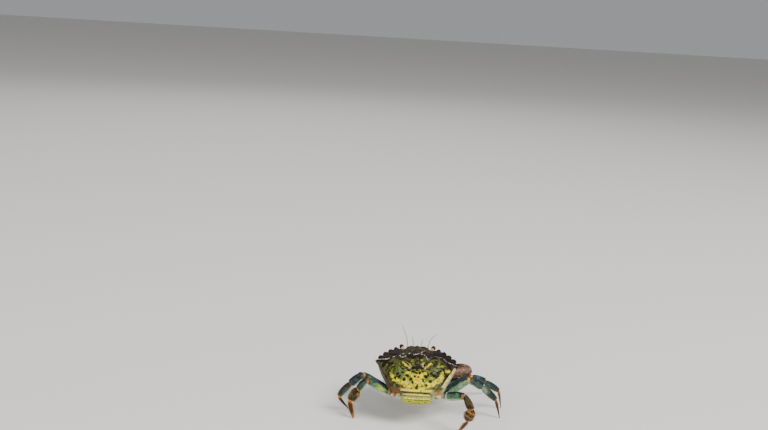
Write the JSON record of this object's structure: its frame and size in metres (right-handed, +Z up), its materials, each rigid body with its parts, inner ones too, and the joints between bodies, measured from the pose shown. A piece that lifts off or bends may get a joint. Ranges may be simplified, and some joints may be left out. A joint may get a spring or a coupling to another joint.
{
  "type": "green shore crab",
  "caption": "Life-size shore crab standing on its walking legs, with a toothed oval shell, front raised, claws folded before the mouth and abdomen tucked below.",
  "frame": {"origin": "centre of the bounding box on the floor that the leg tips stand on", "axes": "+X to the crab's left, +Y to its rear, +Z up; the head looks along -Y"},
  "size_m": [0.1118, 0.0926, 0.0566],
  "materials": {
    "shell": "mottled green, yellow and dark brown shell, lightly granular, wet sheen",
    "underside": "smooth pale cream-green breast plates",
    "abdomen": "yellow-green plates with pale ridges",
    "leg": "blue-green to dark olive, with orange at the joints",
    "leg_root": "pale green with cream and orange joint skin",
    "leg_tip": "brown-orange, darker at the point",
    "claw": "reddish brown and green with orange under-edges and pale fingers",
    "eye": "cream stalk with a dark brown polished cornea",
    "feeler": "thin whitish feelers"
  },
  "bodies": {
    "root": {"carapace": "shell", "thorax": "underside", "abdomen_1": "abdomen", "abdomen_2": "abdomen", "abdomen_plate": "abdomen", "abdomen_tip": "underside", "leg_left_2_hip": "leg_root", "leg_left_2_merus": "leg", "leg_left_2_carpus": "leg", "leg_left_2_propodus": "leg", "leg_left_2_dactyl": "leg_tip", "leg_left_3_hip": "leg_root", "leg_left_3_merus": "leg", "leg_left_3_carpus": "leg", "leg_left_3_propodus": "leg", "leg_left_3_dactyl": "leg_tip", "leg_left_4_hip": "leg_root", "leg_left_4_merus": "leg", "leg_left_4_carpus": "leg", "leg_left_4_propodus": "leg", "leg_left_4_dactyl": "leg_tip", "leg_left_5_hip": "leg_root", "leg_left_5_merus": "leg", "leg_left_5_carpus": "leg", "leg_left_5_propodus": "leg", "leg_left_5_dactyl": "leg_tip", "claw_left_arm": "claw", "claw_left_wrist": "claw", "claw_left_palm": "claw", "claw_left_finger": "claw", "eye_left": "eye", "antenna_left": "feeler", "antennule_left": "feeler", "leg_right_2_hip": "leg_root", "leg_right_2_merus": "leg", "leg_right_2_carpus": "leg", "leg_right_2_propodus": "leg", "leg_right_2_dactyl": "leg_tip", "leg_right_3_hip": "leg_root", "leg_right_3_merus": "leg", "leg_right_3_carpus": "leg", "leg_right_3_propodus": "leg", "leg_right_3_dactyl": "leg_tip", "leg_right_4_hip": "leg_root", "leg_right_4_merus": "leg", "leg_right_4_carpus": "leg", "leg_right_4_propodus": "leg", "leg_right_4_dactyl": "leg_tip", "leg_right_5_hip": "leg_root", "leg_right_5_merus": "leg", "leg_right_5_carpus": "leg", "leg_right_5_propodus": "leg", "leg_right_5_dactyl": "leg_tip", "claw_right_arm": "claw", "claw_right_wrist": "claw", "claw_right_palm": "claw", "claw_right_finger": "claw", "eye_right": "eye", "antenna_right": "feeler", "antennule_right": "feeler"}
  },
  "joints": []
}
